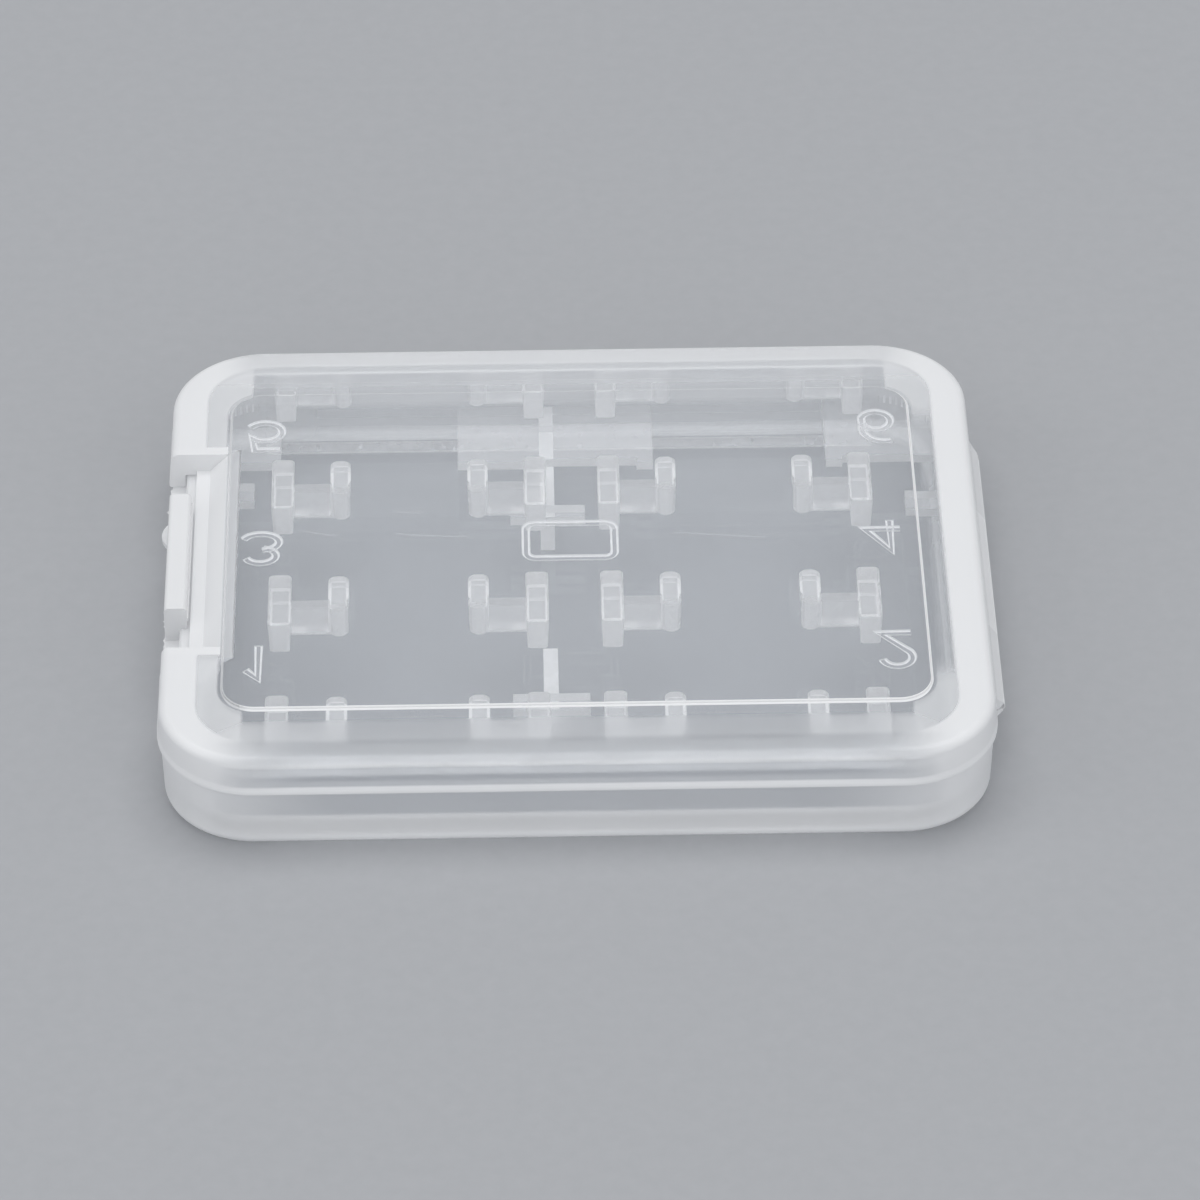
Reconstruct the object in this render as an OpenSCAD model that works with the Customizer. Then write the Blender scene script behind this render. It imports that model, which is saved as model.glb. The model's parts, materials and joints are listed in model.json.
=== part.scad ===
// Clamshell card case, moulded in one piece from clear polypropylene and shown closed.
// +X is the hinge side, -X the opening side, +Z up. The origin is the middle of the base.
// The lower half holds two larger cards side by side. The upper half holds small cards
// between clips that hang from the inside of the top.

/* [Case] */
// Width from the opening side to the hinge side, at the rim of the upper half
case_w = 54; // [52:0.5:60]
// Depth from front to back, at the rim
case_d = 44; // [43:0.5:50]
// Plan radius of the four corners
corner_r = 6.3; // [5:0.1:7.5]
// Overall height when closed
case_h = 7.25; // [7:0.05:8]
// Height of the parting edge, where the upper rim ends
parting_z = 4.4; // [4.3:0.05:4.6]
// Thickness of the side walls
wall_t = 2.3; // [2:0.1:2.6]
// Thickness of the base plate
base_t = 0.9; // [0.7:0.05:1.1]
// Thickness of the top plate, without the raised window
top_t = 0.7; // [0.6:0.05:0.9]

/* [Window] */
// Border between the outer edge and the raised window, at the sides
window_side = 4.2; // [3.8:0.1:5]
// Border between the outer edge and the raised window, at front and back
window_front = 5.4; // [5:0.1:6.5]
// Height of the window above the border
window_raise = 0.15; // [0.1:0.05:0.3]
// Plan radius of the window corners
window_r = 2.2; // [1.5:0.1:3]

/* [Small card clips] */
// Length of a small card pocket, between the end posts
pocket_l = 15.3; // [15.1:0.1:15.8]
// Width of a small card pocket, between the bars
pocket_w = 11.5; // [11.2:0.1:11.6]
// Distance from the middle of the case to the middle of each pocket column
column_x = 10.85; // [10.6:0.05:11.2]
// Shift of the pocket rows towards the back
rows_shift = 0.55; // [0.2:0.05:0.6]
// How far the clips hang below the top plate
clip_h = 2.2; // [1.8:0.1:2.3]
// Thickness of a clip bar
bar_t = 0.86; // [0.7:0.02:1]

/* [Large card slots] */
// Middle of the divider between the two large card slots
divider_x = -1.62; // [-2:0.02:-1.2]
// Thickness of the divider
divider_t = 0.96; // [0.8:0.02:1.2]
// Length of a large card slot, from the front stop to the back stop
slot_l = 32.3; // [32.2:0.1:32.8]
// Height of a large card slot, from the base to the underside of the hold plates
slot_h = 2.2; // [2.15:0.05:2.3]
// Thickness of the hold plates and tabs
plate_t = 0.65; // [0.5:0.05:0.7]

/* [Latch and hinge] */
// Width of the thumb notch in the upper half
notch_w = 20.4; // [16:0.2:22]
// Width of the latch tongue that stands in the notch
tongue_w = 12.2; // [8:0.2:14]
// Length of the film hinge
hinge_l = 27.4; // [20:0.2:30]
// How far the hinge crease lies outside the rim
crease_out = 0.6; // [0.55:0.05:0.8]
// Radius of the hinge film at the crease
film_r = 0.2; // [0.15:0.01:0.22]

/* [Hidden] */
CLIP_ROWS = ["back", "rear", "fore", "front"];
CLIP_COLUMNS = ["outer_left", "inner_left", "inner_right", "outer_right"];
function clip_name(row, column) = str("clip_", row, "_", column);

// Roundness of the large corners and of the small fillets
corner_fn = 96;
fillet_fn = 48;
// A margin by which a cutting solid runs past the surface it cuts
past = 1;

// Upper half
border_z = case_h - window_raise;
under_z = border_z - top_t;
top_fillet = 0.6;
upper_draft = 0.1;
rim_face_h = 0.35;
rim_flare_h = 0.35;
rim_flare_out = 0.08;
rim_round = 0.18;
window_fillet = 0.1;
shoulder_z = parting_z + 1;
skirt_t = 1.1;

// Lower half
lower_inset = 0.22;
lower_draft = 0.1;
bottom_fillet = 0.7;
inner_fillet = 0.8;
parting_gap = 0.05;
collar_gap = 0.1;
collar_chamfer = 0.15;
lower_top = parting_z - parting_gap;
collar_top = shoulder_z - collar_gap;

// Inner faces of the walls
inner_x = case_w / 2 - wall_t;
inner_y = case_d / 2 - wall_t;
inner_r = corner_r - wall_t;
corner_x = case_w / 2 - corner_r;
corner_y = case_d / 2 - corner_r;

// Small card clips: a full-height end post, a bar, a full-height round boss at the bar's
// end, and a low pad behind the boss
row_pitch = pocket_w + bar_t;
end_post_w = 1.5;
end_post_taper = 0.1;
end_post_back = 3.1;
end_post_front = 2.15;
end_post_round = 0.35;
boss_w = 1.36;
boss_gap = 2.4;
boss_front = 0.72;
boss_taper = 0.06;
pad_front = 0.2;
pad_back = 2.9;
pad_h = 0.85;
pad_round = 0.55;
clip_wall_gap = 0.15;

// Large card slots. The stops are set from the back wall. The back stop is low, and
// stands full height only where it carries a hold plate.
stop_t = 2.1;
stop_low_h = 0.9;
stop_y = inner_y - stop_t;
front_stop_y = stop_y - slot_l;
front_stop_t = 0.9;
plate_z = base_t + slot_h;
plate_top = plate_z + plate_t;
plate_front = stop_y - 4.65;
plate_left_step = 0.25;
plate_ear_w = 1.1;
plate_ear_d = 0.45;
plate_left_l = 5.1;
plate_centre_left = 6;
plate_centre_right = 7.2;
plate_right_l = 7.4;
back_divider_front = stop_y - 11;
front_divider_l = 8.2;
centre_tab_w = 5;
centre_tab_d = 1.3;
front_tab_y = front_stop_y + 1.3;
front_tab_d = 1.5;
side_tab_left_l = 3.4;
side_tab_left_y = 8.8;
side_tab_right_l = 2.3;
side_tab_right_y = 7;
side_tab_d = 1.95;
side_rib_t = 0.5;
side_rib_y = [-9.1, 6.7];
side_rib_top = 3;

// Latch, notch and hinge
notch_ledge_z = border_z - 1.35;
notch_top_x = case_w / 2 - 4.1;
notch_slope = 1.3;
ledge_out = 0.4;
notch_wall = 0.8;
latch_gap = 0.2;
latch_top = border_z - 0.1;
latch_round = 0.3;
latch_bead_r = 0.1;
latch_bead_z = notch_ledge_z + 0.35;
gate_y = 5;
gate_chord = 2.7;
gate_out = 0.58;
gate_t = 0.3;
crease_x = case_w / 2 + crease_out;
crease_z = case_h / 2;
leaf_gap = 0.05;
leaf_root_h = 0.7;
leaf_tip_t = 0.13;
film_gap = 0.02;
leaf_end_chamfer = 0.5;
leaf_wall_gap = 0.12;
leaf_shoulder_out = 0.16;
leaf_shoulder_h = 0.1;

// Outer face of the lower wall at a height, measured from the middle of the case
function lower_wall_x(z) =
    case_w / 2 - lower_inset
    - lower_draft * (lower_top - z) / (lower_top - bottom_fillet);

// Sweeps a profile round a rounded rectangle. The profile's x is measured outwards
// from the corner centres, so it follows the corners as a true revolve.
module around(w, d, r) {
    for (flip_x = [0, 1], flip_y = [0, 1])
        mirror([flip_x, 0, 0])
            mirror([0, flip_y, 0])
                translate([w / 2 - r, d / 2 - r, 0])
                    rotate_extrude(angle = 90, $fn = corner_fn) children();
    for (flip_x = [0, 1])
        mirror([flip_x, 0, 0])
            translate([w / 2 - r, d / 2 - r, 0])
                rotate([90, 0, 0])
                    linear_extrude(d - 2 * r) children();
    for (flip_y = [0, 1])
        mirror([0, flip_y, 0])
            translate([r - w / 2, d / 2 - r, 0])
                rotate([90, 0, 90])
                    linear_extrude(w - 2 * r) children();
}

// Extrudes a profile drawn in X and Z along Y, between two places
module along_y(y_from, y_to) {
    translate([0, y_to, 0])
        rotate([90, 0, 0])
            linear_extrude(y_to - y_from) children();
}

// A box between two corners
module box(low, high) {
    translate(low) cube(high - low);
}

// A rounded rectangle in plan, as a prism
module rounded_prism(w, d, r, low_z, high_z) {
    translate([0, 0, low_z])
        linear_extrude(high_z - low_z)
            union() {
                square([w - 2 * r, d], center = true);
                square([w, d - 2 * r], center = true);
                for (x = [-1, 1], y = [-1, 1])
                    translate([x * (w / 2 - r), y * (d / 2 - r)])
                        circle(r, $fn = corner_fn);
            }
}

// The wall of the lower half, from the corner centre outwards
module lower_profile() {
    outer = corner_r - lower_inset;
    foot = outer - lower_draft;
    inner = corner_r - wall_t;
    collar = corner_r - skirt_t - collar_gap;
    difference() {
        polygon([
            [0, 0], [foot, 0], [foot, bottom_fillet], [outer, lower_top],
            [collar, lower_top], [collar, collar_top - collar_chamfer],
            [collar - collar_chamfer, collar_top], [inner, collar_top],
            [inner, base_t], [0, base_t]]);
        difference() {
            translate([foot - bottom_fillet, -past])
                square([bottom_fillet + past, bottom_fillet + past]);
            translate([foot - bottom_fillet, bottom_fillet])
                circle(bottom_fillet, $fn = fillet_fn);
        }
    }
    // Fillet inside, where the wall meets the base
    difference() {
        translate([inner - inner_fillet, base_t]) square(inner_fillet);
        translate([inner - inner_fillet, base_t + inner_fillet])
            circle(inner_fillet, $fn = fillet_fn);
    }
}

// The wall and border of the upper half, from the corner centre outwards
module upper_profile() {
    inner = corner_r - wall_t;
    skirt = corner_r - skirt_t;
    face = corner_r - rim_flare_out;
    face_top = parting_z + rim_face_h;
    top = face - upper_draft;
    difference() {
        polygon([
            [0, under_z], [inner, under_z], [inner, shoulder_z], [skirt, shoulder_z],
            [skirt, parting_z], [corner_r, parting_z], [corner_r, face_top],
            [face, face_top + rim_flare_h], [top, border_z - top_fillet],
            [top, border_z], [0, border_z]]);
        // Round of the top edge
        difference() {
            translate([top - top_fillet, border_z - top_fillet])
                square(top_fillet + past);
            translate([top - top_fillet, border_z - top_fillet])
                circle(top_fillet, $fn = fillet_fn);
        }
        // Small round of the rim's lower edge
        difference() {
            translate([corner_r - rim_round, parting_z - past])
                square([rim_round + past, rim_round + past]);
            translate([corner_r - rim_round, parting_z + rim_round])
                circle(rim_round, $fn = fillet_fn);
        }
    }
}

// The edge of the raised window, from the window's corner centre outwards
module window_profile() {
    difference() {
        translate([0, border_z]) square([window_r, window_raise]);
        difference() {
            translate([window_r - window_fillet, case_h - window_fillet])
                square(window_fillet + past);
            translate([window_r - window_fillet, case_h - window_fillet])
                circle(window_fillet, $fn = fillet_fn);
        }
    }
}

// Takes away what would reach into the fillet at the foot of a wall. The profile is
// measured outwards from the middle of the case.
module foot_fillet(wall) {
    difference() {
        translate([wall - inner_fillet, base_t]) square(inner_fillet);
        translate([wall - inner_fillet, base_t + inner_fillet])
            circle(inner_fillet, $fn = fillet_fn);
    }
}

module lower_shell() {
    color("whitesmoke")
        union() {
            around(case_w, case_d, corner_r) lower_profile();
            box([-corner_x, -corner_y, 0], [corner_x, corner_y, base_t]);
        }
}

// Stands in the thumb notch on the lower half, seated on the rim and over the collar, and
// snaps over the ledge of the upper half. Its bead is drawn just clear of the ledge, as
// the flexed shape isn't modelled.
module latch_tongue() {
    outer = -lower_wall_x(lower_top);
    inner = -(inner_x + ledge_out) - latch_gap;
    collar = skirt_t + collar_gap - case_w / 2;
    color("whitesmoke")
        along_y(-tongue_w / 2, tongue_w / 2)
            difference() {
                union() {
                    translate([outer, lower_top])
                        square([inner - outer, latch_top - latch_round - lower_top]);
                    translate([outer + latch_round, lower_top])
                        square([inner - outer - 2 * latch_round, latch_top - lower_top]);
                    for (x = [outer + latch_round, inner - latch_round])
                        translate([x, latch_top - latch_round])
                            circle(latch_round, $fn = fillet_fn);
                    translate([inner, latch_bead_z]) circle(latch_bead_r, $fn = fillet_fn);
                }
                polygon([
                    [collar, lower_top - past], [collar, collar_top - collar_chamfer],
                    [collar + collar_chamfer, collar_top], [inner + past, collar_top],
                    [inner + past, lower_top - past]]);
            }
}

// The thin half-round tab that is left where the mould was filled
module gate_tab() {
    radius = (pow(gate_chord / 2, 2) + pow(gate_out, 2)) / (2 * gate_out);
    face = -lower_wall_x(lower_top - gate_t);
    color("aliceblue")
        translate([0, 0, lower_top - gate_t])
            linear_extrude(gate_t)
                intersection() {
                    translate([face - gate_out + radius, gate_y])
                        circle(radius, $fn = corner_fn);
                    translate([face - gate_out, gate_y - gate_chord])
                        square([gate_out, 2 * gate_chord]);
                }
}

// The stop behind the large cards: a low step along the back wall, with a full-height
// block under each hold plate. It is shaped to the fillet at the foot of the wall.
module back_stop() {
    blocks = [
        [-corner_x, plate_left_l - inner_x],
        [divider_x - plate_centre_left, divider_x + plate_centre_right],
        [inner_x - plate_right_l, corner_x]];
    color("aliceblue")
        difference() {
            union() {
                box([-corner_x, stop_y, base_t], [corner_x, inner_y, base_t + stop_low_h]);
                for (span = blocks)
                    box([span[0], stop_y, base_t], [span[1], inner_y, plate_z]);
            }
            translate([-case_w / 2, 0, 0])
                rotate([90, 0, 90])
                    linear_extrude(case_w) foot_fillet(inner_y);
        }
}

// The low rib in front of the large cards
module front_stop() {
    half = inner_x - inner_fillet;
    color("aliceblue")
        box([-half, front_stop_y - front_stop_t, base_t],
            [half, front_stop_y, base_t + stop_low_h]);
}

module back_divider() {
    color("aliceblue")
        box([divider_x - divider_t / 2, back_divider_front, base_t],
            [divider_x + divider_t / 2, stop_y, plate_z]);
}

module front_divider() {
    color("aliceblue")
        box([divider_x - divider_t / 2, front_stop_y, base_t],
            [divider_x + divider_t / 2, front_stop_y + front_divider_l, plate_z]);
}

// A plate or tab at the height that holds a large card down, kept inside the walls
module hold_plate(x_from, x_to, y_from, y_to) {
    color("aliceblue")
        intersection() {
            box([x_from, y_from, plate_z], [x_to, y_to, plate_top]);
            rounded_prism(2 * inner_x, 2 * inner_y, inner_r, plate_z - past, plate_top + past);
        }
}

module hold_plate_left() {
    hold_plate(-inner_x, plate_left_l - inner_x, plate_front, inner_y);
}

// Its left part reaches a little further forward, and it has an ear at its right end
module hold_plate_centre() {
    left = divider_x - plate_centre_left;
    right = divider_x + plate_centre_right;
    union() {
        hold_plate(left, right, plate_front, inner_y);
        hold_plate(left, divider_x, plate_front - plate_left_step, inner_y);
        hold_plate(right - plate_ear_w, right, plate_front - plate_ear_d, inner_y);
    }
}

// It has an ear at its left end
module hold_plate_right() {
    left = inner_x - plate_right_l;
    union() {
        hold_plate(left, inner_x, plate_front, inner_y);
        hold_plate(left, left + plate_ear_w, plate_front - plate_ear_d, inner_y);
    }
}

module side_tab_left() {
    hold_plate(-inner_x, side_tab_left_l - inner_x,
        side_tab_left_y, side_tab_left_y + side_tab_d);
}

module side_tab_right() {
    hold_plate(inner_x - side_tab_right_l, inner_x,
        side_tab_right_y, side_tab_right_y + side_tab_d);
}

module centre_tab() {
    hold_plate(divider_x - centre_tab_w / 2, divider_x + centre_tab_w / 2,
        back_divider_front, back_divider_front + centre_tab_d);
}

module front_tab() {
    hold_plate(divider_x - centre_tab_w / 2, divider_x + centre_tab_w / 2,
        front_tab_y, front_tab_y + front_tab_d);
}

// A low rib on the hinge wall that takes up the play beside the right card
module side_rib() {
    color("aliceblue")
        along_y(side_rib_y[0], side_rib_y[1])
            difference() {
                translate([inner_x - side_rib_t, base_t])
                    square([side_rib_t, side_rib_top - base_t]);
                foot_fillet(inner_x);
            }
}

// The plan outline that both hinge leaves share, with chamfered ends
module leaf_plan() {
    half = hinge_l / 2;
    tip = half - leaf_end_chamfer;
    translate([0, 0, -past])
        linear_extrude(case_h + 2 * past)
            polygon([
                [inner_x, -half], [case_w / 2, -half], [crease_x, -tip],
                [crease_x, tip], [case_w / 2, half], [inner_x, half]]);
}

// The thin web at the crease, drawn as a round bead on the hinge axis
module hinge_film() {
    half = hinge_l / 2 - leaf_end_chamfer;
    color("white")
        translate([crease_x, half, crease_z])
            rotate([90, 0, 0])
                cylinder(h = 2 * half, r = film_r, $fn = fillet_fn);
}

module crease_cut(gap) {
    translate([crease_x, hinge_l, crease_z])
        rotate([90, 0, 0])
            cylinder(h = 2 * hinge_l, r = film_r + gap, $fn = fillet_fn);
}

module hinge_leaf_lower() {
    top = crease_z - leaf_gap;
    tip = crease_x - film_gap;
    tip_low = crease_z - film_r - leaf_tip_t;
    root_low = top - leaf_root_h;
    color("white")
        difference() {
            intersection() {
                along_y(-hinge_l / 2, hinge_l / 2)
                    polygon([
                        [lower_wall_x(root_low), root_low], [tip, tip_low],
                        [tip, top], [lower_wall_x(top), top]]);
                leaf_plan();
            }
            crease_cut(0);
        }
}

// Hangs from the outer face of the upper rim, just clear of the lower wall
module hinge_leaf_upper() {
    low = crease_z + leaf_gap;
    tip = crease_x - film_gap;
    tip_high = crease_z + film_r + leaf_tip_t;
    root = lower_wall_x(lower_top) + leaf_wall_gap;
    rim = case_w / 2;
    color("white")
        difference() {
            intersection() {
                along_y(-hinge_l / 2, hinge_l / 2)
                    polygon([
                        [root, low], [tip, low], [tip, tip_high],
                        [rim + leaf_shoulder_out, parting_z + leaf_shoulder_h],
                        [rim, parting_z + rim_face_h], [rim, parting_z + rim_round],
                        [root, parting_z + rim_round / 2]]);
                leaf_plan();
            }
            crease_cut(film_gap);
            // The rim's round is solid there, so the leaf is cut to it
            translate([rim - rim_round, hinge_l, parting_z + rim_round])
                rotate([90, 0, 0])
                    cylinder(h = 2 * hinge_l, r = rim_round, $fn = fillet_fn);
        }
}

// The thickening behind the thumb notch, under the top plate
module notch_backing() {
    half = notch_w / 2 + notch_wall;
    slope_foot = -notch_top_x - notch_slope;
    along_y(-half, half)
        polygon([
            [-inner_x, shoulder_z], [slope_foot + notch_wall / 2, shoulder_z],
            [notch_wall - notch_top_x, under_z], [-inner_x, under_z]]);
}

// What the thumb notch takes away: the outer wall, and a slope into the top plate
module notch_cut() {
    slope_foot = -notch_top_x - notch_slope;
    ledge = -inner_x - ledge_out;
    beyond = -case_w / 2 - past;
    along_y(-notch_w / 2, notch_w / 2)
        polygon([
            [beyond, parting_z - past], [ledge, parting_z - past],
            [ledge, notch_ledge_z], [slope_foot, notch_ledge_z],
            [-notch_top_x, border_z], [-notch_top_x, case_h + past],
            [beyond, case_h + past]]);
}

module upper_shell() {
    window_w = case_w - 2 * window_side;
    window_d = case_d - 2 * window_front;
    color("whitesmoke")
        difference() {
            union() {
                around(case_w, case_d, corner_r) upper_profile();
                box([-corner_x, -corner_y, under_z], [corner_x, corner_y, border_z]);
                around(window_w, window_d, window_r) window_profile();
                box([window_r - window_w / 2, window_r - window_d / 2, border_z],
                    [window_w / 2 - window_r, window_d / 2 - window_r, case_h]);
                notch_backing();
            }
            notch_cut();
        }
}

// A rounded rectangle outline from one corner to the other
module soft_rect(x_from, x_to, y_from, y_to, r) {
    translate([x_from + r, y_from]) square([x_to - x_from - 2 * r, y_to - y_from]);
    translate([x_from, y_from + r]) square([x_to - x_from, y_to - y_from - 2 * r]);
    for (x = [x_from + r, x_to - r], y = [y_from + r, y_to - r])
        translate([x, y]) circle(r, $fn = fillet_fn);
}

// One clip, drawn with its end post at the origin and its bar towards +X. It is cut
// to the space between the front and back walls.
module clip_shape(y) {
    front = -inner_y + clip_wall_gap - y;
    back = inner_y - clip_wall_gap - y;
    post_front = max(-end_post_front, front);
    post_back = min(end_post_back, back);
    boss_from = end_post_w + boss_gap;
    boss_r = boss_w / 2;
    boss_x = boss_from + boss_r;
    // End post, narrower towards its free end
    intersection() {
        translate([0, 0, -clip_h])
            linear_extrude(clip_h)
                soft_rect(0, end_post_w, post_front, post_back, end_post_round);
        along_y(post_front - past, post_back + past)
            polygon([
                [0, 0], [end_post_w, 0], [end_post_w - end_post_taper, -clip_h],
                [end_post_taper, -clip_h]]);
    }
    // Bar
    box([end_post_w / 2, -bar_t / 2, -clip_h], [boss_x, bar_t / 2, 0]);
    // Boss at the end of the bar, narrower towards its free end
    intersection() {
        translate([boss_x, boss_r - boss_front, -clip_h])
            cylinder(h = clip_h, r1 = boss_r - boss_taper, r2 = boss_r, $fn = fillet_fn);
        box([boss_from - past, front, -clip_h], [boss_from + boss_w + past, back, 0]);
    }
    // Low pad that carries the edge of the card behind the bar. The clips of the back row
    // stand against the wall and have none.
    if (back > pad_back)
        translate([0, 0, -pad_h])
            linear_extrude(pad_h)
                soft_rect(boss_from, boss_from + boss_w, pad_front, pad_back, pad_round);
}

// Columns run from left to right; the second and fourth clips are mirrored
module card_clip(row, column) {
    y = rows_shift + (1.5 - row) * row_pitch;
    pocket_x = column < 2 ? -column_x : column_x;
    facing = column % 2 == 0 ? 1 : -1;
    color("aliceblue")
        translate([pocket_x - facing * (pocket_l / 2 + end_post_w), y, under_z])
            scale([facing, 1, 1])
                clip_shape(y);
}

lower_shell();
latch_tongue();
gate_tab();
back_stop();
front_stop();
back_divider();
front_divider();
hold_plate_left();
hold_plate_centre();
hold_plate_right();
side_tab_left();
side_tab_right();
centre_tab();
front_tab();
side_rib();
hinge_film();
hinge_leaf_lower();
upper_shell();
hinge_leaf_upper();
for (row = [0:3], column = [0:3])
    card_clip(row, column);
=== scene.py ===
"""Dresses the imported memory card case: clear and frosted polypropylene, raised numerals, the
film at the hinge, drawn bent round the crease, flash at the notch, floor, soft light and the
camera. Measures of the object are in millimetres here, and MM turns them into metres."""

import json
import math
import random

import bmesh
import bpy
from mathutils import Matrix, Vector


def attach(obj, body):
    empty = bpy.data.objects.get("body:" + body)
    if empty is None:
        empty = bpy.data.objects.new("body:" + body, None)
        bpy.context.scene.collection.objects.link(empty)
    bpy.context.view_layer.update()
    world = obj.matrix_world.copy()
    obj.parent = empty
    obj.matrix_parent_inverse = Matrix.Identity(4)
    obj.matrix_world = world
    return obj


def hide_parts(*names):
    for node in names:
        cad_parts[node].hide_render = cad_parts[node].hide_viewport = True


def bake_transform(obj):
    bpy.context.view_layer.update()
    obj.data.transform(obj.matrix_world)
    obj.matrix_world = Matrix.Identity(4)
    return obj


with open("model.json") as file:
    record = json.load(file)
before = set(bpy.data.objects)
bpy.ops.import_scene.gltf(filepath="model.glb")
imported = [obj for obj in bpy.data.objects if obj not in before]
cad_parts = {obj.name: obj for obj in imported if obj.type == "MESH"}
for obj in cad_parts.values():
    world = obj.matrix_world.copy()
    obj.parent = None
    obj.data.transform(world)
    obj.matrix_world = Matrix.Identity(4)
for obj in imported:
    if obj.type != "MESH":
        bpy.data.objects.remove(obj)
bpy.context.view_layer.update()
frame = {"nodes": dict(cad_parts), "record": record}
MM = 0.001
random.seed(7)

# Rounded rectangles in plan: half the width, half the depth and the radius of the corners
LID_EDGE, LID_WALL = (26.6, 21.6, 5.9), (24.45, 19.7, 3.8)
INNER_WALL, WINDOW = (24.7, 19.7, 4.0), (22.8, 16.6, 2.2)
# Heights of the underside of the top plate and of the upper face of the base
UNDER_Z, BASE_TOP = 6.4, 0.9
# Half the length of the thumb notch, which is in the wall at the left
NOTCH_HALF = 10.9
# Layout of the clips: distance of the columns from the middle, shift and pitch of the rows,
# half a pocket's width, the width of a post, and a boss's place and width
COLUMN_X, ROW_SHIFT, ROW_PITCH, POCKET_HALF = 10.85, 0.55, 12.36, 7.65
POST_W, BOSS_FROM, BOSS_W = 1.5, 3.9, 1.36

# Node helpers


def new_material(name):
    m = bpy.data.materials.new(name)
    m.use_nodes = True
    m.node_tree.nodes.clear()
    return m, m.node_tree


def node(nt, kind, **sets):
    n = nt.nodes.new(kind)
    for k, v in sets.items():
        setattr(n, k, v)
    return n


def feed(nt, socket, value):
    """Links a socket to an output, or gives it a fixed value."""
    if isinstance(value, bpy.types.NodeSocket):
        nt.links.new(value, socket)
    else:
        socket.default_value = value


def math_node(nt, op, a, b=None, clamp=False):
    n = node(nt, "ShaderNodeMath", operation=op, use_clamp=clamp)
    feed(nt, n.inputs[0], a)
    if b is not None:
        feed(nt, n.inputs[1], b)
    return n.outputs[0]


def fold(nt, op, values):
    result = values[0]
    for v in values[1:]:
        result = math_node(nt, op, result, v)
    return result


def most(nt, *values):
    return fold(nt, "MAXIMUM", values)


def times(nt, *values):
    return fold(nt, "MULTIPLY", values)


def plus(nt, *values):
    return fold(nt, "ADD", values)


def minus(nt, a, b, clamp=False):
    return math_node(nt, "SUBTRACT", a, b, clamp=clamp)


def absolute(nt, v):
    return math_node(nt, "ABSOLUTE", v)


def ramp(nt, value, lo, hi, out_lo=0.0, out_hi=1.0, kind="SMOOTHSTEP"):
    n = node(nt, "ShaderNodeMapRange", interpolation_type=kind, clamp=True)
    limits = {"Value": value, "From Min": lo, "From Max": hi, "To Min": out_lo, "To Max": out_hi}
    for name, v in limits.items():
        feed(nt, n.inputs[name], v)
    return n.outputs["Result"]


def below(nt, value, lo, hi, full=1.0):
    """full under lo, falling to 0 at hi."""
    return ramp(nt, value, lo, hi, full, 0.0)


def band(nt, value, lo, hi, soft):
    """1 between lo and hi, falling to 0 over soft on both sides."""
    return times(nt, ramp(nt, value, lo - soft, lo + soft), below(nt, value, hi - soft, hi + soft))


def noise(nt, coord, scale, detail=3.0, rough=0.5):
    n = node(nt, "ShaderNodeTexNoise")
    for name, v in (("Scale", scale), ("Detail", detail), ("Roughness", rough), ("Vector", coord)):
        feed(nt, n.inputs[name], v)
    return n.outputs["Fac"]


def mix_colour(nt, fac, a, b):
    n = node(nt, "ShaderNodeMix", data_type="RGBA")
    for i, v in ((0, fac), (6, a), (7, b)):
        feed(nt, n.inputs[i], v)
    return n.outputs[2]


def object_mm(nt):
    """Object coordinates in millimetres: together, then x, y and z."""
    tc = node(nt, "ShaderNodeTexCoord")
    scale = node(nt, "ShaderNodeVectorMath", operation="SCALE")
    scale.inputs["Scale"].default_value = 1000.0
    nt.links.new(tc.outputs["Object"], scale.inputs[0])
    sep = node(nt, "ShaderNodeSeparateXYZ")
    nt.links.new(scale.outputs[0], sep.inputs[0])
    return scale.outputs[0], *sep.outputs


def rounded_distance(nt, x, y, half_x, half_y, r):
    """Signed distance, in mm, outside a rounded rectangle in plan."""
    ax = minus(nt, absolute(nt, x), half_x - r)
    ay = minus(nt, absolute(nt, y), half_y - r)
    px = most(nt, ax, 0.0)
    py = most(nt, ay, 0.0)
    far = math_node(nt, "SQRT", plus(nt, times(nt, px, px), times(nt, py, py)))
    near = math_node(nt, "MINIMUM", most(nt, ax, ay), 0.0)
    return minus(nt, plus(nt, far, near), r)


# Materials

CLEAR = (0.93, 0.945, 0.965, 1)
MILKY = (0.90, 0.905, 0.915, 1)
# Grey that the colour is darkened toward where shade is 1, as painted shade
SHADE_GREY = (0.5, 0.52, 0.55, 1)
VEIL, VEIL_DULL, STROKE_TONE = (0.97, 0.975, 0.98, 1), (0.93, 0.935, 0.95, 1), (0.97, 0.97, 0.98, 1)
IOR = 1.49
# Share of the light that clear and frosted plastic lets through to what lies behind
PASS_CLEAR, PASS_HAZY, PASS_VEIL = 0.97, 0.3, 0.7
# Roughness where the mould was polished and where it was etched
ROUGH_CLEAR, ROUGH_FROSTED = 0.03, 0.4
# Least haze of the shells, and the transmission where plastic is clear and where it is white
BASE_HAZE, MOST_CLEAR, LEAST_CLEAR = 0.085, 0.97, 0.04


def start_material(name):
    m, nt = new_material(name)
    out = node(nt, "ShaderNodeOutputMaterial")
    bsdf = node(nt, "ShaderNodeBsdfPrincipled")
    bsdf.inputs["IOR"].default_value = IOR
    nt.links.new(bsdf.outputs[0], out.inputs[0])
    return m, nt, bsdf


def lighting_rays(nt):
    """1 for shadow and diffuse rays, which go straight through where the plastic is clear, so
    that light reaches the inside."""
    path = node(nt, "ShaderNodeLightPath")
    return most(nt, path.outputs["Is Shadow Ray"], path.outputs["Is Diffuse Ray"])


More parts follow.
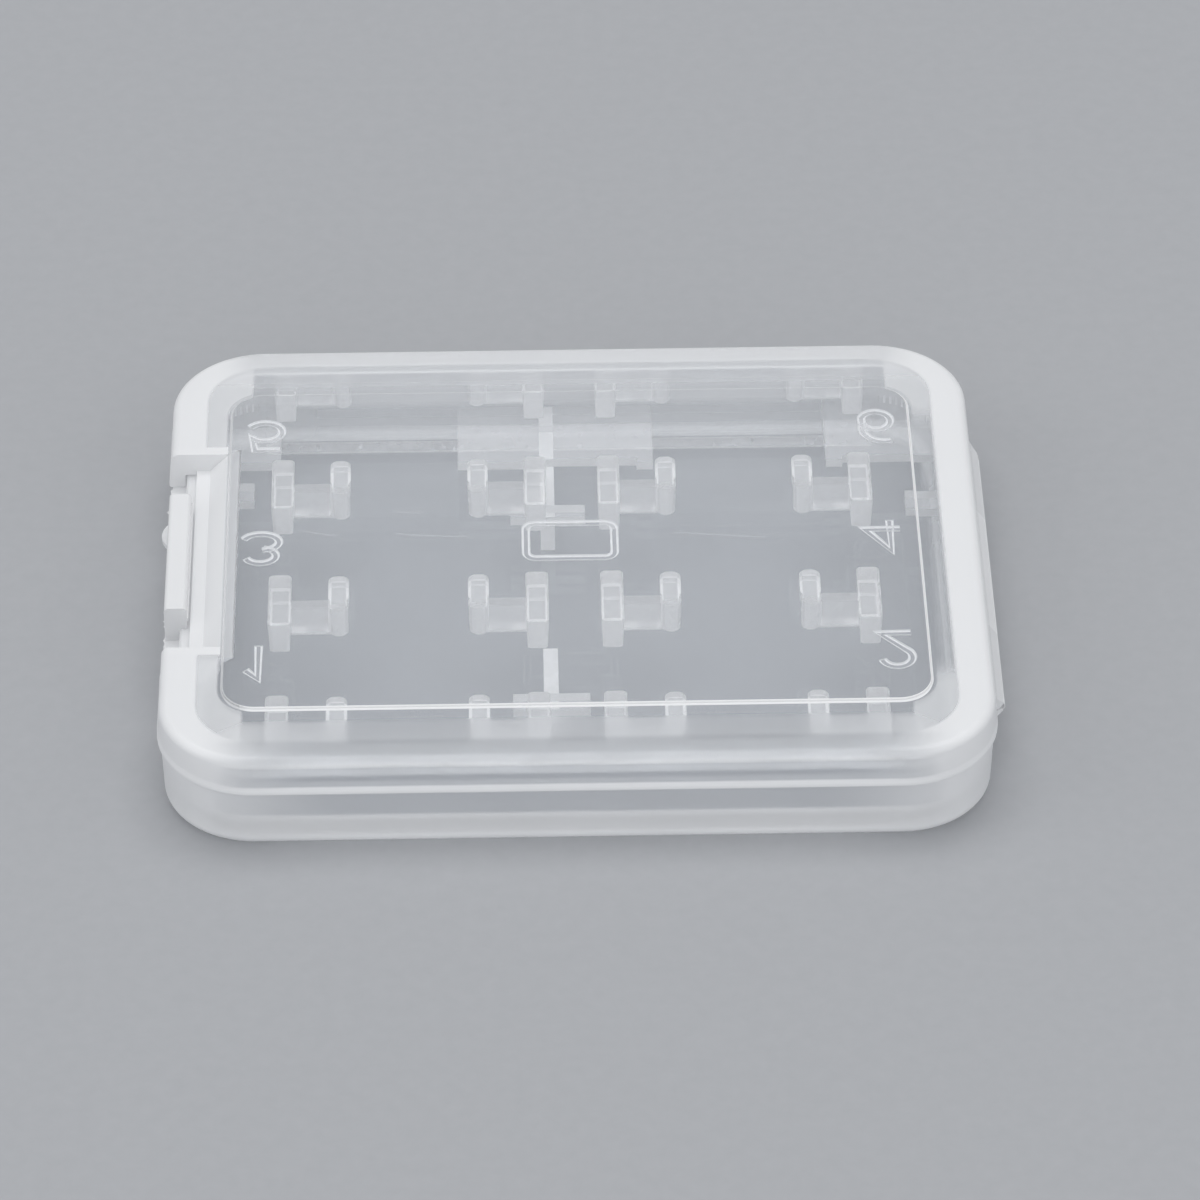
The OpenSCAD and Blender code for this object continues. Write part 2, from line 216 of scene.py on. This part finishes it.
def plastic(name, look):
    """Polypropylene that refracts. look(nt, coord, x, y, z) gives haze, from 0 for clear to 1
    for white; frost, from 0 where the mould was polished to 1 where it was etched; and shade,
    which is painted shade: where it is 1 the colour is darkened to grey."""
    m, nt, bsdf = start_material(name)
    coord, x, y, z = object_mm(nt)
    cloud = noise(nt, coord, 0.16, 2.0, 0.55)
    haze, frost, shade = look(nt, coord, x, y, z)
    haze = math_node(nt, "ADD", haze, times(nt, minus(nt, cloud, 0.5), 0.06), clamp=True)
    feed(nt, bsdf.inputs["Transmission Weight"],
         ramp(nt, haze, 0.0, 1.0, MOST_CLEAR, LEAST_CLEAR))
    rough = ramp(nt, frost, 0.0, 1.0, ROUGH_CLEAR, ROUGH_FROSTED)
    feed(nt, bsdf.inputs["Roughness"],
         math_node(nt, "ADD", rough, times(nt, cloud, 0.02), clamp=True))
    tone = mix_colour(nt, haze, CLEAR, MILKY)
    # Painted shade: where shade is 1 the colour is darkened toward grey
    feed(nt, bsdf.inputs["Base Color"], mix_colour(nt, shade, tone, SHADE_GREY))
    passes = times(nt, lighting_rays(nt), ramp(nt, haze, 0.0, 1.0, PASS_CLEAR, PASS_HAZY))
    feed(nt, bsdf.inputs["Alpha"], minus(nt, 1.0, passes))
    return m


def inner(name, cover, tone=VEIL):
    """Milky plastic inside the case, drawn as a thin veil. cover(nt, x, y, z, nx, ny, nz) is
    how much each face hides; it is denser at grazing angles, as moulded edges are."""
    m, nt, bsdf = start_material(name)
    coord, x, y, z = object_mm(nt)
    tc = node(nt, "ShaderNodeTexCoord")
    sep = node(nt, "ShaderNodeSeparateXYZ")
    nt.links.new(tc.outputs["Normal"], sep.inputs[0])
    grazing = node(nt, "ShaderNodeLayerWeight")
    grazing.inputs["Blend"].default_value = 0.4
    fine = noise(nt, coord, 1.1, 2.0, 0.5)
    hide = cover(nt, x, y, z, *sep.outputs)
    edge = times(nt, grazing.outputs["Facing"], ramp(nt, hide, 0.0, 0.1), 0.45)
    speck = times(nt, minus(nt, fine, 0.5), ramp(nt, hide, 0.0, 0.2), 0.07)
    veil = math_node(nt, "ADD", plus(nt, hide, edge), speck, clamp=True)
    blocks = minus(nt, 1.0, times(nt, lighting_rays(nt), PASS_VEIL))
    feed(nt, bsdf.inputs["Alpha"], times(nt, veil, blocks))
    feed(nt, bsdf.inputs["Base Color"], mix_colour(nt, fine, tone, VEIL_DULL))
    feed(nt, bsdf.inputs["Roughness"], ramp(nt, fine, 0.3, 0.7, 0.18, 0.34))
    return m


# Scratches on the lid: from x, y to x, y
SCRATCHES = [(-17.8, 1.6, -15.8, 1.0), (-11.75, 3.5, -9.8, 3.4), (-11.7, 1.1, -7.0, 0.7),
             (6.5, 0.9, 12.8, 0.2), (-20.3, -4.9, -20.1, -5.3)]


def scratch(nt, x, y, line):
    x0, y0, x1, y1 = line
    along = ramp(nt, x, x0, x1, kind="LINEAR")
    away = absolute(nt, minus(nt, y, plus(nt, times(nt, along, y1 - y0), y0)))
    return times(nt, below(nt, away, 0.03, 0.1), band(nt, x, x0, x1, 0.08))


def upper_look(nt, coord, x, y, z):
    """Side walls and corners are white; the front and back walls let more through. The thin
    line of the window's edge is white, and the rim is white all round as a painted highlight."""
    abs_x, abs_y = absolute(nt, x), absolute(nt, y)
    side = ramp(nt, abs_x, 17.5, 24.5, 0.0, 0.8)
    level = most(nt, side, ramp(nt, y, -8.0, 14.0, 0.05, 0.24),
                 ramp(nt, y, 19.8, 19.95, 0.0, 0.5))
    wall = ramp(nt, rounded_distance(nt, x, y, *LID_WALL), -0.35, 0.2)
    # The notch's faces, and the inside of the wall behind them
    notch = times(nt, below(nt, x, -23.0, -22.92),
                  below(nt, abs_y, NOTCH_HALF, NOTCH_HALF + 0.3, 0.85))
    backing = times(nt, below(nt, x, -22.1, -21.9), below(nt, z, UNDER_Z - 0.1, UNDER_Z - 0.02),
                    below(nt, abs_y, NOTCH_HALF + 0.05, NOTCH_HALF + 0.2, 0.6))
    # The border between the window and the walls, whiter at the left and at the corners
    window = rounded_distance(nt, x, y, *WINDOW)
    left = times(nt, below(nt, x, -21.6, -21.2), 0.46)
    right = times(nt, ramp(nt, x, 21.2, 21.6), ramp(nt, abs_y, 11.5, 15.0, 0.06, 0.4))
    corners = times(nt, ramp(nt, abs_x, 17.0, 22.0), below(nt, y, -18.0, -17.7, 0.36))
    border = times(nt, ramp(nt, window, 0.1, 0.4), most(nt, left, right, corners))
    # Painted highlight: the rim band is made white all round
    rim = times(nt, band(nt, z, 3.0, 4.98, 0.12), 0.8)
    # The rounded edge on top is frosted white at the sides; at the front it is a narrower line,
    # which is a painted highlight on the fillet
    at_edge = rounded_distance(nt, x, y, *LID_EDGE)
    narrower = times(nt, below(nt, y, -18.0, -8.0), 0.25)
    edge = times(nt, ramp(nt, minus(nt, at_edge, narrower), -0.5, -0.15),
                 ramp(nt, z, 6.45, 6.7), most(nt, side, ramp(nt, y, -18.0, -8.0, 0.3, 0.7)))
    slant = times(nt, most(nt, minus(nt, abs_x, 21.3), 0.0), 0.6)
    front = ramp(nt, minus(nt, minus(nt, -17.75, y), slant), -0.15, 0.2)
    rear = ramp(nt, y, 17.8, 18.1)
    # The window's edge, a thin line that is wider at the front
    wide = ramp(nt, y, -16.6, -15.0, 0.18, 0.06)
    line = times(nt, ramp(nt, window, -0.12, -0.06), below(nt, minus(nt, window, wide), 0.0, 0.06),
                 ramp(nt, z, 6.9, 7.05), ramp(nt, x, -22.0, -20.5, 0.5, 1.0))
    inner_face = band(nt, rounded_distance(nt, x, y, *INNER_WALL), -0.25, 0.25, 0.05)
    creases = times(nt, inner_face, ramp(nt, y, 10.0, 14.0),
                    most(nt, band(nt, z, 6.3, 6.45, 0.03), band(nt, z, 5.38, 5.56, 0.03)), 0.75)
    marks = times(nt, most(nt, *[scratch(nt, x, y, mark) for mark in SCRATCHES]),
                  ramp(nt, z, 7.1, 7.2), 0.3)
    haze = most(nt, times(nt, wall, level), notch, backing, border, rim, edge,
                times(nt, front, 0.08), times(nt, rear, 0.08), line, creases, marks, BASE_HAZE)
    # The front wall's thick section gets painted shade: darkened toward grey, on its face more than
    # from above
    away_from_sides = minus(nt, 1.0, times(nt, side, 1.25), clamp=True)
    face = times(nt, below(nt, y, -21.7, -21.3), band(nt, z, 5.05, 6.5, 0.1))
    ledge = times(nt, below(nt, y, -20.1, -19.5), ramp(nt, z, 6.6, 6.9), 0.55)
    grey = times(nt, most(nt, face, ledge), away_from_sides)
    return haze, most(nt, wall, notch, rim, edge, front, rear, line), grey


def lower_look(nt, coord, x, y, z):
    """The foot of the wall is white; above it the front wall lets more through."""
    abs_x = absolute(nt, x)
    side = ramp(nt, abs_x, 17.5, 24.5, 0.0, 0.75)
    away = rounded_distance(nt, x, y, *INNER_WALL)
    wall = ramp(nt, away, -0.2, 0.2)
    foot = ramp(nt, z, 2.35, 2.75, 0.68, 0.04)
    corner = ramp(nt, plus(nt, abs_x, absolute(nt, y)), 36.0, 41.0, 0.3, 0.6)
    fillet = times(nt, ramp(nt, away, -1.3, -0.3), corner)
    level = most(nt, side, foot, times(nt, ramp(nt, y, -8.0, 14.0), 0.25))
    # On the inner face of the back wall: white above, and a line
    above = most(nt, ramp(nt, z, 2.5, 3.9, 0.0, 0.8),
                 times(nt, band(nt, z, 4.5, 4.68, 0.03), 0.75),
                 ramp(nt, z, 5.18, 5.24, 0.0, 0.75))
    crease = times(nt, band(nt, away, -0.25, 0.25, 0.05), ramp(nt, y, 10.0, 14.0), above)
    # Painted shade: the front wall above the foot is darkened toward grey, less toward the sides
    grey = times(nt, below(nt, y, -21.3, -21.0), band(nt, z, 2.6, 4.6, 0.15),
                 minus(nt, 0.5, times(nt, side, 0.65), clamp=True))
    return most(nt, times(nt, wall, level), fillet, crease, BASE_HAZE), wall, grey


def frosted_look(nt, coord, x, y, z):
    """Milky all through, and a little less so at the ends of the latch, as painted shade that makes
    their end faces greyer.
    """
    soft = noise(nt, coord, 0.12, 1.0)
    # Painted shade: haze is a little lower past the ends of the latch, so that its end faces look
    # greyer
    ends = ramp(nt, absolute(nt, y), 6.05, 6.09, 1.0, 0.85)
    return times(nt, plus(nt, times(nt, soft, 0.12), 0.8), ends), times(nt, soft, 0.3), 0.0


def facings(nt, nx, ny, nz):
    """1 on level faces, and on those that face the front, the back and the sides."""
    return (ramp(nt, absolute(nt, nz), 0.6, 0.9), below(nt, ny, -0.9, -0.3),
            ramp(nt, ny, 0.3, 0.9), ramp(nt, absolute(nt, nx), 0.3, 0.9))


def clip_cover(nt, x, y, z, nx, ny, nz):
    """The root is part of the top plate, so it isn't seen. Free ends have bright borders, a painted
    highlight, and posts and bosses are whiter than the bars between them."""
    # u runs from a clip's outer side to its inner side, and v from front to back
    off = absolute(nt, minus(nt, absolute(nt, x), COLUMN_X))
    u = minus(nt, POCKET_HALF + POST_W, off)
    turns = times(nt, minus(nt, y, ROW_SHIFT), 1.0 / ROW_PITCH)
    v = times(nt, minus(nt, math_node(nt, "FRACT", turns), 0.5), ROW_PITCH)
    post_edge = absolute(nt, minus(nt, u, POST_W / 2))
    boss_edge = absolute(nt, minus(nt, u, BOSS_FROM + BOSS_W / 2))
    # Painted highlight: whiter borders round the free ends and the pads
    border = most(nt, times(nt, ramp(nt, post_edge, 0.48, 0.6), below(nt, u, 2.3, 2.5)),
                  times(nt, ramp(nt, boss_edge, 0.42, 0.54), ramp(nt, u, 3.6, 3.8)),
                  ramp(nt, v, 2.7, 2.8), below(nt, v, -0.58, -0.45))
    bar = band(nt, u, POST_W, BOSS_FROM, 0.03)
    below_root = below(nt, z, UNDER_Z - 0.03, UNDER_Z - 0.01)
    is_flat, is_front, is_rear, is_side = facings(nt, nx, ny, nz)
    flat = times(nt, is_flat, plus(nt, times(nt, border, 0.5), 0.34))
    front = times(nt, is_front, minus(nt, 0.92, times(nt, bar, 0.5)))
    tip = times(nt, below(nt, z, 4.25, 4.45), is_front, 0.6)
    faces = most(nt, flat, front, times(nt, is_rear, 0.34), times(nt, is_side, 0.75))
    return times(nt, plus(nt, faces, tip), below_root)


def in_the_open(nt, x, y, z):
    """Two masks, which are 0 on faces against the base and against the inside of the walls."""
    above_base = ramp(nt, z, BASE_TOP + 0.01, BASE_TOP + 0.03)
    off_walls = times(nt, below(nt, y, 19.6, 19.68), below(nt, absolute(nt, x), 24.6, 24.68))
    return above_base, off_walls


def lower_cover(flat_share):
    """Plates, tabs and dividers: fainter from above, bright on their front edges."""
    def cover(nt, x, y, z, nx, ny, nz):
        over_stop = ramp(nt, y, 16.75, 16.85, 1.0, 0.2)
        is_flat, is_front, is_rear, is_side = facings(nt, nx, ny, nz)
        faces = most(nt, times(nt, is_flat, flat_share, over_stop), is_front,
                     times(nt, is_rear, 0.2), times(nt, is_side, 0.6, over_stop))
        return times(nt, faces, *in_the_open(nt, x, y, z))
    return cover


def stop_cover(nt, x, y, z, nx, ny, nz):
    """Stops and ribs are faint, with a bright line at the foot, a painted highlight."""
    is_flat, is_front, _, _ = facings(nt, nx, ny, nz)
    # Painted highlight: a bright line along the foot of the front faces
    foot = below(nt, z, 1.0, 1.1)
    front = times(nt, is_front, plus(nt, times(nt, foot, 0.5), 0.2))
    strip = times(nt, band(nt, x, -2.1, -1.14, 0.03), ramp(nt, z, 3.0, 3.08), 0.5)
    faces = most(nt, times(nt, is_flat, 0.03), front, strip, 0.05)
    return times(nt, faces, *in_the_open(nt, x, y, z))


def stroke_cover(nt, x, y, z, nx, ny, nz):
    """Raised strokes show as two thin bright lines, fainter where they face the back."""
    return ramp(nt, ny, 0.3, 0.8, 0.9, 0.6)


def face_cover(nt, x, y, z, nx, ny, nz):
    """The face of a raised stroke is all but clear."""
    return ramp(nt, absolute(nt, nz), 0.0, 1.0, 0.02, 0.03)


upper_mat = plastic("pp_upper", upper_look)
lower_mat = plastic("pp_lower", lower_look)
clip_mat = inner("pp_clips", clip_cover)
plate_mat = inner("pp_plates", lower_cover(0.1))
stop_mat = inner("pp_stops", stop_cover)
divider_mat = inner("pp_dividers", lower_cover(0.7))
stroke_mat = inner("pp_strokes", stroke_cover, STROKE_TONE)
face_mat = inner("pp_stroke_faces", face_cover)
white_mat = plastic("pp_frosted", frosted_look)


def cad_material(name, slot):
    if slot == "frosted_plastic":
        return white_mat
    if name == "upper_shell":
        return upper_mat
    if name in ("lower_shell", "gate_tab"):
        return lower_mat
    if name.startswith("clip_"):
        return clip_mat
    if name.endswith("divider"):
        return divider_mat
    if name.endswith("_stop") or name == "side_rib":
        return stop_mat
    return plate_mat


for part in frame["record"]["subparts"]:
    o = frame["nodes"][part["node"]]
    m = cad_material(part["node"], part["material_slot"])
    if not o.material_slots:
        o.data.materials.append(m)
    for slot in o.material_slots:
        slot.material = m

# Mesh helpers


def vertex(bm, x, y, z):
    return bm.verts.new((x * MM, y * MM, z * MM))


def make_object(name, bm, material, body="upper_half", smooth=False):
    me = bpy.data.meshes.new(name)
    bmesh.ops.recalc_face_normals(bm, faces=bm.faces)
    bm.to_mesh(me)
    bm.free()
    for p in me.polygons:
        p.use_smooth = smooth
    o = bpy.data.objects.new(name, me)
    bpy.context.scene.collection.objects.link(o)
    me.materials.append(material)
    if body:
        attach(o, body)
    return o


def join(bm, a, b):
    """Faces between two rings of vertices."""
    n = len(a)
    return [bm.faces.new((a[k], a[(k + 1) % n], b[(k + 1) % n], b[k])) for k in range(n)]


def cap(bm, rings):
    bm.faces.new(rings[0])
    bm.faces.new(list(reversed(rings[-1])))


def loft(bm, rings):
    for a, b in zip(rings, rings[1:]):
        join(bm, a, b)
    cap(bm, rings)


def arc(cx, cy, rx, ry, a0, a1, n=14):
    return [(cx + rx * math.cos(math.radians(a0 + (a1 - a0) * i / n)),
             cy + ry * math.sin(math.radians(a0 + (a1 - a0) * i / n))) for i in range(n + 1)]


# Raised strokes under the lid: width, height, how far a flank slants, and the bright lip's width
STROKE, STROKE_H, SLOPE, LIP = 0.58, 0.1, 0.05, 0.11
# The faces of a stroke's section that are clear: the middle of the low side, and the root
CLEAR_FACES = (2, 5)
# A length under TINY is none, and a sum of directions under REVERSED turns straight back. The
# mitre at a bend is at most 1 / SHARPEST.
TINY, REVERSED, SHARPEST = 1e-9, 1e-6, 0.5


def ribbon(bm, path, z_root, closed=False):
    """A raised stroke below the plane z_root: a low trapezium whose edges are bright and whose
    face is clear, which is material 1."""
    half, z_low = STROKE / 2, z_root - STROKE_H
    section = [(-half, z_root), (SLOPE - half, z_low), (SLOPE + LIP - half, z_low),
               (half - SLOPE - LIP, z_low), (half - SLOPE, z_low), (half, z_root)]
    n = len(path)
    rings = []
    for i, p in enumerate(path):
        a = path[(i - 1) % n] if (closed or i > 0) else p
        b = path[(i + 1) % n] if (closed or i < n - 1) else p
        d1 = Vector((p[0] - a[0], p[1] - a[1]))
        d2 = Vector((b[0] - p[0], b[1] - p[1]))
        if d1.length < TINY:
            d1 = d2
        if d2.length < TINY:
            d2 = d1
        d1.normalize()
        d2.normalize()
        t = d1 + d2
        if t.length < REVERSED:
            t = d1
        t.normalize()
        across = Vector((-t.y, t.x)) * (1.0 / max(SHARPEST, t.dot(d1)))
        points = [(Vector(p) + across * off, z) for off, z in section]
        rings.append([vertex(bm, q.x, q.y, z) for q, z in points])
    for i in range(n if closed else n - 1):
        for k, face in enumerate(join(bm, rings[i], rings[(i + 1) % n])):
            face.material_index = 1 if k in CLEAR_FACES else 0
    if not closed:
        cap(bm, rings)


# Strokes of each numeral in a box one wide and one and a half high, read upright
GLYPH_H = 1.5
GLYPHS = {
    "1": [[(0.05, 1.12), (0.55, 1.5), (0.55, 0.0)]],
    "2": [arc(0.5, 1.08, 0.5, 0.42, 165, -35, 16) + [(0.0, 0.0), (1.0, 0.0)]],
    "3": [arc(0.48, 1.12, 0.44, 0.38, 160, -80, 14), arc(0.48, 0.42, 0.52, 0.42, 85, -160, 16)],
    "4": [[(0.75, 0.0), (0.75, 1.5), (0.0, 0.42), (1.05, 0.42)]],
    "5": [[(0.95, 1.5), (0.22, 1.5), (0.12, 0.8)] + arc(0.5, 0.5, 0.5, 0.5, 120, -150, 18)],
    "6": [arc(0.75, 0.85, 0.72, 0.68, 70, 190, 12) + arc(0.5, 0.46, 0.5, 0.46, 200, 520, 26)],
}
# Place of each numeral: left, right, front, back. They are read from inside the lid.
PLACES = {
    "5": (-21.7, -19.4, 11.0, 14.0), "3": (-21.7, -19.4, -1.2, 1.9),
    "1": (-21.4, -19.8, -13.1, -9.8), "6": (19.6, 21.6, 11.1, 14.3),
    "4": (19.3, 21.5, -0.8, 2.4), "2": (19.7, 21.7, -12.8, -9.4),
}
# Keeps the strokes and the thickening off the face of the lid that they are under
GAP = 0.004
for digit, (x0, x1, y0, y1) in PLACES.items():
    bm = bmesh.new()
    for stroke in GLYPHS[digit]:
        ribbon(bm, [(x0 + (x1 - x0) * u, y1 - (y1 - y0) * v / GLYPH_H) for u, v in stroke],
               UNDER_Z - GAP)
    numeral = make_object("numeral_" + digit, bm, stroke_mat)
    numeral.data.materials.append(face_mat)

# The label's frame: left, right, front, back and the radius of its corners. It stays empty.

FRAME_X0, FRAME_X1, FRAME_Y0, FRAME_Y1, FRAME_R = -3.12, 2.72, -1.08, 2.58, 0.62
corners = [(FRAME_X1 - FRAME_R, FRAME_Y1 - FRAME_R), (FRAME_X0 + FRAME_R, FRAME_Y1 - FRAME_R),
           (FRAME_X0 + FRAME_R, FRAME_Y0 + FRAME_R), (FRAME_X1 - FRAME_R, FRAME_Y0 + FRAME_R)]
outline = [p for k, (cx, cy) in enumerate(corners)
           for p in arc(cx, cy, FRAME_R, FRAME_R, 90 * k, 90 * k + 90, 8)]
bm = bmesh.new()
ribbon(bm, outline, UNDER_Z - GAP, closed=True)
make_object("label_frame", bm, stroke_mat).data.materials.append(face_mat)

# Thickening under the top plate, in front of the notch

THICK_PLAN = [(-24.69, -11.02), (-23.0, -11.02), (-23.75, -13.3), (-24.69, -13.45)]
THICK_LOW = 5.5
bm = bmesh.new()
low, high = [[vertex(bm, px, py, pz) for px, py in THICK_PLAN]
             for pz in (THICK_LOW, UNDER_Z - GAP)]
cap(bm, [low, high])
join(bm, low, high)
make_object("notch_thickening", bm, white_mat)

# Hinge film: the axis, half its length, its mid line's radius, half its thickness, how that
# line is squeezed across and drawn out upwards, and how far it turns each way

AXIS_X, AXIS_Z, FILM_HALF = 27.6, 3.625, 13.2
FILM_R, FILM_T, FILM_ACROSS, FILM_UP, FILM_TURN = 0.13, 0.05, 0.55, 1.35, 100
STEPS, ALONG = 14, 40


def film_point(s, side):
    """The film from the lower leaf's tip round the crease to the upper leaf, in x and z."""
    a = math.radians(-FILM_TURN + 2 * FILM_TURN * s)
    r = FILM_R + side
    return AXIS_X + r * math.cos(a) * FILM_ACROSS, AXIS_Z + r * math.sin(a) * FILM_UP


section = ([film_point(i / STEPS, -FILM_T) for i in range(STEPS + 1)]
           + [film_point(i / STEPS, FILM_T) for i in range(STEPS, -1, -1)])
bm = bmesh.new()
loft(bm, [[vertex(bm, px, -FILM_HALF + 2 * FILM_HALF * j / ALONG, pz) for px, pz in section]
          for j in range(ALONG + 1)])
film = make_object("hinge_film_skin", bm, white_mat, body=None, smooth=True)
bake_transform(film)
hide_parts("hinge_film")

# Flash at the notch: its root, top and underside, the pitch of its points, how far out and how
# high its tips start, and how much lower a tip may be. Then its front, back and reach.

FLASH_X, FLASH_TOP, FLASH_LOW, FLASH_PITCH = -26.7, 4.33, 4.2, 0.16
TIP_X, TIP_Z, TIP_DROP, TIP_LEAST = -26.78, 4.3, 0.05, 0.05
for name, ya, yb, reach in (("flash_back", 5.9, 10.1, 0.32), ("flash_front", -7.6, 1.8, 0.2)):
    bm = bmesh.new()
    rings = []
    count = int((yb - ya) / FLASH_PITCH)
    for i in range(count + 1):
        y = ya + (yb - ya) * i / count
        swell = max(0.0, math.sin(math.pi * i / count)) ** 0.5
        out = TIP_LEAST + reach * random.random() ** 2 * swell
        rings.append([vertex(bm, FLASH_X, y, FLASH_TOP),
                      vertex(bm, TIP_X - out, y, TIP_Z - TIP_DROP * random.random()),
                      vertex(bm, FLASH_X, y, FLASH_LOW)])
    loft(bm, rings)
    make_object(name, bm, white_mat, "lower_half")

# Floor, just under the case. The floor and the lamps are in metres.

FLOOR_HALF, FLOOR_DROP = 3.0, 0.00002
FLOOR_DARK, FLOOR_PALE = (0.41, 0.42, 0.44, 1), (0.45, 0.46, 0.48, 1)
floor_mat, nt = new_material("floor")
tc = node(nt, "ShaderNodeTexCoord")
out = node(nt, "ShaderNodeOutputMaterial")
bsdf = node(nt, "ShaderNodeBsdfPrincipled")
bsdf.inputs["Roughness"].default_value = 0.75
grain = noise(nt, tc.outputs["Object"], 900.0, 3.0, 0.6)
nt.links.new(mix_colour(nt, grain, FLOOR_DARK, FLOOR_PALE), bsdf.inputs["Base Color"])
nt.links.new(bsdf.outputs[0], out.inputs[0])
bm = bmesh.new()
bm.faces.new([bm.verts.new((sx * FLOOR_HALF, sy * FLOOR_HALF, 0))
              for sx, sy in ((-1, -1), (1, -1), (1, 1), (-1, 1))])
floor = make_object("floor", bm, floor_mat, body=None, smooth=True)
floor.location.z = -FLOOR_DROP

# Light

scene = bpy.context.scene
scene.world = bpy.data.worlds.new("studio")
scene.world.use_nodes = True
background = scene.world.node_tree.nodes["Background"]
background.inputs["Color"].default_value = (0.95, 0.97, 1.0, 1)
background.inputs["Strength"].default_value = 0.4


def area(name, place, size, power):
    """A soft lamp that is aimed at the case."""
    d = bpy.data.lights.new(name, "AREA")
    d.shape = "RECTANGLE"
    d.size, d.size_y = size
    d.energy = power
    o = bpy.data.objects.new(name, d)
    scene.collection.objects.link(o)
    o.location = place
    o.rotation_mode = "QUATERNION"
    o.rotation_quaternion = (-Vector(place)).to_track_quat("-Z", "Y")


area("key", (-0.03, 0.2, 0.85), (0.8, 0.5), 3.1)
area("left", (-0.65, -0.15, 0.4), (0.5, 0.5), 0.8)
area("right", (0.65, -0.1, 0.4), (0.5, 0.5), 0.4)
area("front", (0.15, -0.85, 0.45), (1.5, 0.9), 3.6)

# Camera, fitted to the photo's outline: focal length in the photo's pixels, angles in radians,
# and the case's place before the camera in mm

PHOTO_PX, SENSOR = 1200.0, 36.0
FOCAL_PX, PITCH, YAW, ROLL = 6552.956, 0.6771, 0.0178, -0.0034
OFFSET = Vector((-1.7377, 1.8297, 435.953))


def about_z(angle):
    c, s = math.cos(angle), math.sin(angle)
    return Matrix(((c, -s, 0), (s, c, 0), (0, 0, 1)))


right = Vector((1, 0, 0))
ahead = Vector((0, math.cos(PITCH), -math.sin(PITCH)))
R = about_z(ROLL) @ Matrix((right, ahead.cross(right), ahead)) @ about_z(YAW)
cam_data = bpy.data.cameras.new("camera")
cam_data.sensor_width = SENSOR
cam_data.lens = FOCAL_PX * SENSOR / PHOTO_PX
cam_data.clip_start, cam_data.clip_end = 0.01, 20.0
cam = bpy.data.objects.new("camera", cam_data)
scene.collection.objects.link(cam)
axes = Matrix((R[0], -R[1], -R[2])).transposed()
cam.matrix_world = Matrix.Translation(-(R.transposed() @ OFFSET) * MM) @ axes.to_4x4()
scene.camera = cam
scene.view_settings.view_transform = "Standard"

# A ray crosses many faces of clear plastic before it reaches the floor
BOUNCES = 40
for limit in ("max_bounces", "transmission_bounces", "transparent_max_bounces"):
    setattr(scene.cycles, limit, BOUNCES)
